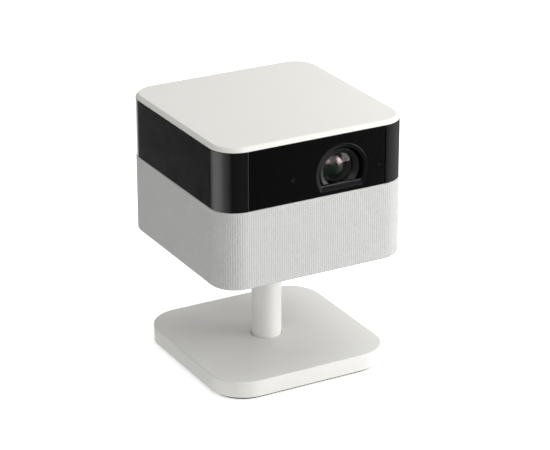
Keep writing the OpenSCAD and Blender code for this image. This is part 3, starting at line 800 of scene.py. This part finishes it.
pad_half, pad_top = pad_high.x, pad_high.z - 0.02 * MM
pad_profile = filleted(
    [
        (PAD_RIM, 0.0, 0),
        (0.5 * MM, 0.0, 0.5 * MM),
        (0.0, PAD_BEVEL, 0.4 * MM),
        (0.0, pad_top, 0.2 * MM),
        (PAD_RIM, pad_top, 0),
    ],
    closed=False,
)
pad_loops = [square_loop(pad_half - d, PAD_R - d, z) for d, z in pad_profile]
put(loft("foot_pad_soft", pad_loops), "base", "foot_pad")

tube_r, tube_inner = tube_high.x, tube_high.x - TUBE_WALL
tube_profile = filleted(
    [
        (tube_inner, tube_low.z, 0.2 * MM),
        (tube_r, tube_low.z, 0.3 * MM),
        (tube_r, tube_high.z, 0.4 * MM),
        (tube_inner, tube_high.z, 0.2 * MM),
    ],
)
put(
    lathe("column_skin", tube_profile, (0, 0, 0), axis="z", steps=ROUND_STEPS),
    "column",
    "column_tube",
)


# ---------------------------------------------------------------- lid and band


def body_square(d, z):
    """The body's outline drawn in by d, at height z."""
    return square_loop(HALF - d, BODY_R - d, z)


lip_out = BAND_T + LIP_GAP
lip_in = lip_out + LIP_T
lip_z = band_high.z - LIP_DROP
rim_z = band_high.z + LID_GAP
lid_profile = filleted(
    [
        (lip_in, LID_TOP - LID_CAVITY, 0),
        (lip_in, lip_z, 0.2 * MM),
        (lip_out, lip_z, 0.2 * MM),
        (lip_out, rim_z, 0),
        (0, rim_z, 0.3 * MM),
        (0, band_high.z + LID_RIM, 1.0 * MM),
        (LID_SLOPE, LID_TOP, 1.3 * MM),
        (LID_SLOPE + LID_FLAT, LID_TOP, 0),
    ],
    closed=False,
    steps=8,
)
put(loft("lid", [body_square(d, z) for d, z in lid_profile]), "head", "top_cover")


def band_path(side):
    """From the front seam round one side to the rear seam, with the ends drawn in a little."""
    c, front = HALF - BODY_R, []
    for f in (0, 0.3, 1.0):
        drawn = BAND_END * (1 - math.sqrt(1 - (1 - f) ** 2))
        front.append((PANEL_HALF + f * BAND_END, -HALF, 0, -1, drawn))
    for i in range(ARC * 2 + 1):
        a = math.radians(-90 + 45 * i / ARC)
        nx, ny = math.cos(a), math.sin(a)
        front.append((c + BODY_R * nx, -c + BODY_R * ny, nx, ny, 0))
    middle = [(HALF, -c + 2 * c * i / FLAT, 1, 0, 0) for i in range(1, FLAT)]
    back = [(x, -y, nx, -ny, least) for x, y, nx, ny, least in front[::-1]]
    path = front + middle + back
    return [(side * x, y, side * nx, ny, least) for x, y, nx, ny, least in path]


band_foot, band_crest = band_low.z + BAND_GAP, band_high.z - BAND_GAP
band_profile = filleted(
    [
        (0, band_foot, 0.3 * MM),
        (0, band_crest, 0.35 * MM),
        (BAND_T, band_crest, 0.2 * MM),
        (BAND_T, band_foot, 0.2 * MM),
    ],
)
for side, name in ((-1, "band_left"), (1, "band_right")):
    put(swept(name, band_path(side), band_profile), "head", "side_band")


# ---------------------------------------------------------------- window and lens recess

LENS_XZ = np.array((LENS_X, LENS_Z))
window_left, window_right = PANEL_GAP - PANEL_HALF, PANEL_HALF - PANEL_GAP - SEAM_R


def upright(left, right):
    """Corners of a rectangle as high as the window."""
    return [
        (left, window_low.z),
        (right, window_low.z),
        (right, window_high.z),
        (left, window_high.z),
    ]


rounded = [(x, z, WINDOW_R) for x, z in upright(window_left, window_right)]
window_outline = np.array(filleted(rounded, steps=4))
recess_outline = cut_circle(RECESS_R, RECESS_LOW) + LENS_XZ
sensor_holes = [circle_points(x, SENSOR_Z, SENSOR_R) for x in SENSORS_X]
outlines = [window_outline, recess_outline, *sensor_holes]
put(panel("window", outlines, -HALF, -HALF + PANEL_T, WINDOW_EDGE), "head", "front_window")

# A pale strip in the left seam: a painted highlight where the light catches the end of the band
seam_highlight_strip = np.array(upright(0.02 * MM - PANEL_HALF, window_left - 0.02 * MM))
put(
    panel("window_seal", [seam_highlight_strip], -HALF + 0.06 * MM, -HALF + PANEL_T, 0.03 * MM),
    "head",
    "front_window",
    material=made["seal_grey"],
)


def sensor_cover(name, x, material):
    """A flush cover in one of the window's two round holes."""
    disc = circle_points(x, SENSOR_Z, SENSOR_R - 0.01 * MM)
    cover = panel(name, [disc], -HALF + 0.04 * MM, -HALF + 0.3 * MM, 0.03 * MM)
    put(cover, "head", "front_window", material=material)


sensor_cover("sensor_cover_left", SENSORS_X[0], made["surround_black"])
sensor_cover("sensor_cover_right", SENSORS_X[1], made["sensor_black"])

recess_back = -HALF + RECESS_D
lip_r, lip_low = RECESS_R - RECESS_GAP, RECESS_LOW - RECESS_GAP


def frame_loop(r, low, depth, base_depth):
    """A loop of the frame round the recess, deeper along its flat base than round its arc."""
    outline = cut_circle(r, low)
    last = OUTLINE_ARC  # the arc's last point, after which the base begins
    blend = 4  # points at each end of the arc over which the depth changes
    depths = np.full(len(outline), depth)
    depths[last + 1 :] = base_depth
    for i in range(blend):
        share = 1 - (i / blend) ** 2
        for j in (i, last - i):
            depths[j] = depth + (base_depth - depth) * share
    return np.column_stack([outline[:, 0] + LENS_X, -HALF + depths, outline[:, 1] + LENS_Z])


def lip_loop(by, depth, base_depth):
    """A loop of the frame's outer edge, drawn in by a little."""
    return frame_loop(lip_r - by, lip_low - by, depth, base_depth)


def cup_loop(by, depth, base_depth):
    """A loop of the frame's inner edge, drawn out by a little."""
    return frame_loop(CUP_R + by, SHELF_LOW + by, depth, base_depth)


frame_loops = [
    cup_loop(0.4 * MM, SHELF_D, SHELF_D),
    lip_loop(0, SHELF_D, SHELF_D),
    lip_loop(0, 0.2 * MM, 0.2 * MM),
    lip_loop(0.06 * MM, 0.06 * MM, 0.06 * MM),
    lip_loop(0.2 * MM, 0.0, 0.03 * MM),
    cup_loop(0.3 * MM, RING_D - 0.06 * MM, RAMP_D - 0.15 * MM),
    cup_loop(0.08 * MM, RING_D + 0.04 * MM, RAMP_D),
    cup_loop(0, RING_D + 0.25 * MM, RAMP_D + 0.2 * MM),
    cup_loop(0, SHELF_D - 0.3 * MM, SHELF_D - 0.3 * MM),
    cup_loop(0.1 * MM, SHELF_D - 0.08 * MM, SHELF_D - 0.08 * MM),
]
put(loft("lens_frame", frame_loops, ring=True, smooth_angle=25), "head", "lens_surround")
sleeve_low = LENS_Z - window_low.z
for name, inner_r, front_y, back_y in (
    ("lens_sleeve", CUP_R, -HALF + SHELF_D, recess_back),
    ("lens_baffle", BAFFLE_R, recess_back, recess_back + BAFFLE_T),
):
    outline = open_ring(lip_r, inner_r, sleeve_low) + LENS_XZ
    put(panel(name, [outline], front_y, back_y, 0.05 * MM), "head", "lens_surround")


# ---------------------------------------------------------------- lens

LENS_AXIS = (LENS_X, 0, LENS_Z)


def dome_depth(radius, aperture):
    """How far the edge of a dome lies behind its middle."""
    return radius - math.sqrt(radius**2 - aperture**2)


def dome(radius, aperture, apex, back_y, steps=14):
    """Profile of a lens body, from the middle of its domed front to the middle of its flat back."""
    widest = math.asin(aperture / radius)
    angles = [widest * i / steps for i in range(steps + 1)]
    front = [(radius * math.sin(a), apex + radius * (1 - math.cos(a))) for a in angles]
    return front + [(aperture, back_y), (0, back_y)]


def lens(name, profile, body, node, material=None):
    """A lens body turned round the lens axis."""
    put(lathe(name, profile, LENS_AXIS), body, node, material)


front = barrel_low.y
bore_r = FRONT_GLASS_R + GLASS_GAP
glass_edge = glass_low.y + dome_depth(FRONT_DOME, FRONT_GLASS_R)
ledge = glass_high.y + 0.1 * MM
inner_apex = glass_high.y + INNER_GAP
inner_edge = inner_apex + dome_depth(INNER_DOME, INNER_GLASS_R)
inner_back = inner_edge + INNER_EDGE_T
inner_seat = INNER_GLASS_R + GLASS_GAP
bezel_back = front + BEZEL_LENGTH
barrel_profile = filleted(
    [
        (BEZEL_R, front, 0.25 * MM),
        (BEZEL_R - 0.85 * MM, front, 0.15 * MM),
        (BEZEL_R - 1.2 * MM, front + 0.45 * MM, 0.1 * MM),
        (BEZEL_R - 3.0 * MM, front + 1.25 * MM, 0.1 * MM),
        (BEZEL_R - 3.15 * MM, front + 1.55 * MM, 0.1 * MM),
        (bore_r, glass_edge, 0),
        (bore_r, ledge, 0),
        (FRONT_GLASS_R - 0.8 * MM, ledge, 0.1 * MM),
        (inner_seat, inner_edge - 0.1 * MM, 0.1 * MM),
        (inner_seat, inner_back, 0),
        (bore_r, inner_back + 0.3 * MM, 0),
        (bore_r, barrel_high.y, 0),
        (BARREL_R, barrel_high.y, 0),
        (BARREL_R, bezel_back, 0),
        (BEZEL_R, bezel_back, 0.2 * MM),
    ],
    steps=3,
)
bezel = lathe("lens_bezel", barrel_profile, LENS_AXIS, steps=ROUND_STEPS)
put(bezel, "head", "lens_barrel")
front_dome = dome(FRONT_DOME, FRONT_GLASS_R, glass_low.y, glass_high.y)
lens("lens_front", front_dome, "head", "front_lens")
inner_dome = dome(INNER_DOME, INNER_GLASS_R, inner_apex, inner_back)
lens("lens_inner", inner_dome, "head", "front_lens", made["inner_glass"])
rear_dome = dome(REAR_DOME, REAR_GLASS_R, rear_low.y, rear_high.y)
lens("lens_rear", rear_dome, "focus_cell", "rear_lens")


# ---------------------------------------------------------------- cloth

notch_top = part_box("stand_channel")[1].z + 0.1 * MM


def round_square(s, half, radius):
    """Points and outward normals at distances s round a rounded square.

    The distances run counterclockwise from the middle of the back.
    """
    c, bend = half - radius, math.pi / 2 * radius
    quarter = 2 * c + bend
    k = np.floor(s / quarter)
    t = s - k * quarter
    phi = np.clip((t - c) / radius, 0, math.pi / 2)
    x = np.where(t < c, -t, -c - radius * np.sin(phi))
    y = np.where(t < c + bend, c + radius * np.cos(phi), c - (t - c - bend))
    nx, ny = -np.sin(phi), np.cos(phi)
    a = k * math.pi / 2
    cos, sin = np.cos(a), np.sin(a)
    return (
        np.stack([x * cos - y * sin, x * sin + y * cos], axis=1),
        np.stack([nx * cos - ny * sin, nx * sin + ny * cos], axis=1),
    )


girth = 8 * (HALF - BODY_R) + 2 * math.pi * BODY_R
columns = RIBS * PER_RIB
places = np.arange(columns) / columns * girth
points, normals = round_square(places, HALF, BODY_R)
phase = places / girth * RIBS % 1
ridge = np.abs(np.sin(math.pi * phase)) ** 0.75

top_z, bottom_z = cloth_high.z - 0.05 * MM, cloth_low.z
skirt_z = bottom_z + CLOTH_EDGE_R  # where the sleeve starts to turn under
# Each row: inset and height of the outer face, the same of the inner face, and the ribs' depth
rows = []
for i in range(5):
    a = math.pi / 2 * i / 4
    drawn_in = CLOTH_TOP_R * (1 - math.sin(a)) - PROUD * math.sin(a)
    z = top_z - CLOTH_TOP_R * (1 - math.cos(a))
    rows.append((drawn_in, z, CLOTH_T, top_z - 0.4 * MM, 0.35 + 0.1 * i))
for f in (0.03, 0.06, 0.35, 0.65, 0.94):
    z = top_z + (skirt_z - top_z) * f
    rows.append((-PROUD, z, CLOTH_T, z, 1.0))
for i in range(7):
    a = math.pi / 2 * i / 6
    inner_r = CLOTH_EDGE_R - CLOTH_T
    rows.append(
        (
            CLOTH_EDGE_R - (CLOTH_EDGE_R + PROUD) * math.cos(a),
            skirt_z - CLOTH_EDGE_R * math.sin(a),
            CLOTH_EDGE_R - inner_r * math.cos(a),
            skirt_z - inner_r * math.sin(a),
            1 - 0.75 * i / 6,
        )
    )
rows.append((TURN_IN, bottom_z, TURN_IN, bottom_z + CLOTH_T, 0.0))

outer_grid, inner_grid, weave = [], [], []
travel, last = 0.0, None
for d, z, di, zi, depth in rows:
    if last is not None:
        travel += math.hypot(d - last[0], z - last[1])
    last = (d, z)
    drop = RIB_DEPTH * depth * (1 - ridge)
    on_side = z > bottom_z + 0.3 * MM  # grooves go inward on the sides and upward underneath
    inward = d + drop * on_side
    upward = z + drop * (not on_side)
    outer_grid.append(np.column_stack([points - normals * inward[:, None], upward]))
    inner_grid.append(np.column_stack([points - normals * di, np.full(columns, zi)]))
    weave.append(travel)

shown = np.ones((len(rows) - 1, columns), bool)
middle_x = (points[:, 0] + np.roll(points[:, 0], -1)) / 2
at_back = (points[:, 1] > 0) & (np.abs(middle_x) < NOTCH_X)
rows_z = np.array([row[1] for row in rows])
notch_row = int(np.argmin(np.abs(rows_z - notch_top)))
shown[notch_row:, at_back] = False
near_notch = (points[:, 1] > 0) & (np.abs(points[:, 0]) < NOTCH_X + 3 * MM)
for grid in (outer_grid, inner_grid):
    grid[notch_row][near_notch, 2] = notch_top

n_rows, verts, faces = len(rows), np.vstack(outer_grid + inner_grid), []
offset = n_rows * columns


def has_cell(i, j):
    """Whether the cloth has a cell between rows i and i + 1 at column j."""
    return 0 <= i < n_rows - 1 and shown[i, j % columns]


for i in range(n_rows - 1):
    for j in range(columns):
        if not shown[i, j]:
            continue
        k = (j + 1) % columns
        a, b = i * columns + j, i * columns + k
        c, d = b + columns, a + columns
        faces.append((a, b, c, d))
        faces.append((a + offset, d + offset, c + offset, b + offset))
        for inside, p, q in (
            (has_cell(i - 1, j), b, a),
            (has_cell(i + 1, j), d, c),
            (has_cell(i, j - 1), a, d),
            (has_cell(i, j + 1), c, b),
        ):
            if not inside:
                faces.append((p, q, q + offset, p + offset))

mesh = bpy.data.meshes.new("cloth_sleeve")
mesh.from_pydata([tuple(v) for v in verts], [], faces)
layer = mesh.uv_layers.new(name="weave")
pitch = girth / RIBS
for loop in mesh.loops:
    at = loop.vertex_index % offset
    i, j = divmod(at, columns)
    layer.data[loop.index].uv = (j / PER_RIB, weave[i] / pitch)
# The last column meets the first, so its right-hand corners count on past the end
for polygon in mesh.polygons:
    us = [layer.data[k].uv.x for k in polygon.loop_indices]
    if max(us) - min(us) > RIBS / 2:
        for k in polygon.loop_indices:
            if layer.data[k].uv.x < RIBS / 2:
                layer.data[k].uv.x += RIBS
bm = bmesh.new()
bm.from_mesh(mesh)
loose = [v for v in bm.verts if not v.link_faces]
bmesh.ops.delete(bm, geom=loose, context="VERTS")
bmesh.ops.recalc_face_normals(bm, faces=bm.faces)
bm.to_mesh(mesh)
bm.free()
cloth = bpy.data.objects.new("cloth_sleeve", mesh)
bpy.context.scene.collection.objects.link(cloth)
cloth.data.shade_smooth()
cloth.data.set_sharp_from_angle(angle=math.radians(70))
put(cloth, "head", "speaker_cloth")


# ---------------------------------------------------------------- back, underside and hinge

# Node, name of its piece and how far its edges are rounded
for node, name, width in (
    ("rear_panel", "rear_panel_soft", 0.25 * MM),
    ("hdmi_port", "hdmi_shell", 0.08 * MM),
    ("usb_port", "usb_shell", 0.08 * MM),
    ("dc_inlet", "dc_socket_shell", 0.12 * MM),
    ("power_button", "power_button_cap", 0.25 * MM),
    ("stand_channel", "channel_liner", 0.4 * MM),
    ("bottom_cover", "bottom_shell", 0.25 * MM),
    ("hinge_head", "hinge_knuckle", 0.4 * MM),
):
    body = frame["nodes"][node]["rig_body"]
    put(softened(node, name, width), body, node)


# ---------------------------------------------------------------- carried CAD nodes

for node, thing in frame["nodes"].items():
    if thing.hide_render:
        continue
    paint(thing, slot_material(NODE_SLOTS[node]))


# ---------------------------------------------------------------- room, light and camera


def lamp(name, place, aim, width, height, power):
    """A soft rectangular lamp, in watts."""
    data = bpy.data.lights.new(name, "AREA")
    data.shape = "RECTANGLE"
    data.size, data.size_y = width, height
    data.energy = power
    thing = bpy.data.objects.new(name, data)
    bpy.context.scene.collection.objects.link(thing)
    thing.location = place
    way = Vector(aim) - Vector(place)
    thing.rotation_mode = "QUATERNION"
    thing.rotation_quaternion = way.to_track_quat("-Z", "Y")
    return thing


def camera_ray(tree):
    """1 for what the camera sees directly, and 0 for light that the surfaces send on."""
    return add_node(tree, "ShaderNodeLightPath").outputs["Is Camera Ray"]


# Pale floor, which glows a little where the camera sees it directly, so that it looks white
FLOOR = 12.0
FLOOR_GLOW = 0.6
corners = ((-FLOOR, -FLOOR, 0), (FLOOR, -FLOOR, 0), (FLOOR, FLOOR, 0), (-FLOOR, FLOOR, 0))
floor_mesh = bpy.data.meshes.new("floor")
floor_mesh.from_pydata(corners, [], [(0, 1, 2, 3)])
floor = bpy.data.objects.new("floor", floor_mesh)
bpy.context.scene.collection.objects.link(floor)
floor_paint = finish(
    "floor_paint", (0.9, 0.9, 0.9), 0.9, spread=0.004, patch=2.0, Specular_IOR_Level=0.0
)
floor_tree = floor_paint.node_tree
floor_shader = floor_tree.nodes["Principled BSDF"]
floor_shader.inputs["Emission Color"].default_value = (1, 1, 1, 1)
floor_glow = maths(floor_tree, "MULTIPLY", camera_ray(floor_tree), FLOOR_GLOW)
floor_tree.links.new(floor_glow, floor_shader.inputs["Emission Strength"])
paint(floor, floor_paint)
floor.visible_glossy = floor.visible_transmission = False

# Lamps: place, aim, width, height and power
CENTRE = (0, 0, 0.13)
lamp("card", (1.5, -1.1, 0.36), CENTRE, 1.25, 0.75, 18.2)
lamp("key", (1.2, -1.7, 1.9), CENTRE, 0.9, 0.9, 13.6)
lamp("front_fill", (-0.5, -2.4, 0.9), CENTRE, 1.2, 1.0, 5.8)
lamp("top_fill", (0.45, -0.05, 0.95), CENTRE, 0.7, 0.7, 2.8)
lamp("back_fill", (1.55, 1.35, 0.95), CENTRE, 1.1, 0.8, 3.5)
low_strip = lamp("low_strip", (-0.4, 0.0, 0.007), (-0.085, 0.0, 0.007), 0.3, 0.01, 0.002)
low_strip.data.spread = math.radians(6)
low_strip.visible_camera = low_strip.visible_glossy = False

# Surroundings: a grey dome over the horizon, with soft glows under it
DOME = 0.53
world = bpy.data.worlds.new("studio")
bpy.context.scene.world = world
world.use_nodes = True
world.cycles.sampling_method = "NONE"
sky = world.node_tree
background = sky.nodes["Background"]
background.inputs["Color"].default_value = (1, 1, 1, 1)
direction = add_node(sky, "ShaderNodeTexCoord").outputs["Generated"]
rise = add_node(sky, "ShaderNodeSeparateXYZ", Vector=direction).outputs["Z"]
under_horizon = eased(sky, rise, 0.0, -0.16)


def glow(turn, width, strength):
    """Light from under the horizon round one direction, falling off smoothly over a width.

    The direction is turned from the front towards the left. Both angles are in degrees.
    """
    a = math.radians(turn)
    aim = Vector((-math.sin(a), -math.cos(a), -0.42)).normalized()
    dot = add_node(sky, "ShaderNodeVectorMath", {"operation": "DOT_PRODUCT"})
    node_input(sky, dot.inputs[0], direction)
    node_input(sky, dot.inputs[1], aim)
    rim = math.cos(math.radians(width))
    fade = eased(sky, dot.outputs["Value"], rim, 1.0, 0.0, strength)
    return maths(sky, "MULTIPLY", fade, under_horizon)


light_sum = eased(sky, rise, -0.05, 0.25, 0.0, DOME)
# Turn, width and strength
for turn, width, strength in (
    (108, 38, 1.27),
    (86, 46, 0.91),
    (195, 40, 1.86),
    (-77, 48, 0.52),
    (2, 30, 0.03),
):
    light_sum = maths(sky, "ADD", light_sum, glow(turn, width, strength))
seen = maths(sky, "ADD", camera_ray(sky), light_sum)
sky.links.new(seen, background.inputs["Strength"])

# Camera, fitted to the photograph's edges
camera_data = bpy.data.cameras.new("camera")
camera_data.lens = 149.0
camera_data.sensor_width = 36.0
camera = bpy.data.objects.new("camera", camera_data)
bpy.context.scene.collection.objects.link(camera)
camera.location = (-0.90826, -1.65581, 0.91376)
aim = Vector((-0.00127, -0.01853, 0.131))
camera.rotation_mode = "QUATERNION"
camera.rotation_quaternion = (aim - camera.location).to_track_quat("-Z", "Y")
camera_data.clip_start, camera_data.clip_end = 0.01, 60
bpy.context.scene.camera = camera
bpy.context.scene.view_settings.view_transform = "Standard"
